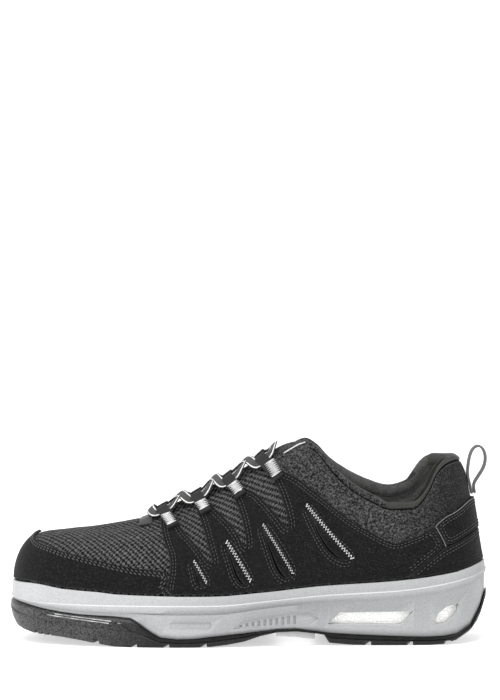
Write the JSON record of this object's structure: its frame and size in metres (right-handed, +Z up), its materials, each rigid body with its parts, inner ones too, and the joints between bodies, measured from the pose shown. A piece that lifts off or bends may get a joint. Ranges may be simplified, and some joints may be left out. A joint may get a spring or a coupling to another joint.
{
  "type": "safety sneaker",
  "caption": "Low-cut lace-up safety sneaker with knitted upper, suede-like overlays, foam midsole with heel windows and rubber outsole with a toe bumper.",
  "frame": {"origin": "on the floor, below the middle of the shoe's box", "axes": "+X from toe to heel, -Y to the lateral side, +Y to the medial side, +Z up"},
  "size_m": [0.303, 0.108, 0.1265],
  "materials": {
    "knit": "dark grey knitted mesh",
    "microfibre": "black napped microfibre",
    "foam": "light silver grey foam, satin",
    "bead_foam": "white bead foam",
    "rubber": "black rubber, half gloss",
    "plate": "pale grey plastic",
    "insole": "black fabric over foam",
    "webbing": "dark grey woven tape"
  },
  "bodies": {
    "root": {"upper": "knit", "midsole": "foam", "heel_foam": "bead_foam", "outsole": "rubber", "arch_plate": "plate", "insole": "insole", "toe_guard": "microfibre", "quarter_lateral": "microfibre", "quarter_medial": "microfibre", "heel_counter": "microfibre", "heel_strap": "microfibre", "tongue": "knit", "lace_loop_lateral_1": "webbing", "lace_loop_lateral_2": "webbing", "lace_loop_lateral_3": "webbing", "lace_loop_lateral_4": "webbing", "lace_loop_medial_1": "webbing", "lace_loop_medial_2": "webbing", "lace_loop_medial_3": "webbing", "lace_loop_medial_4": "webbing", "lace_front": "webbing", "lace_crossing_1": "webbing", "lace_crossing_2": "webbing", "lace_crossing_3": "webbing", "lace_top": "webbing", "pull_loop": "webbing"}
  },
  "joints": []
}
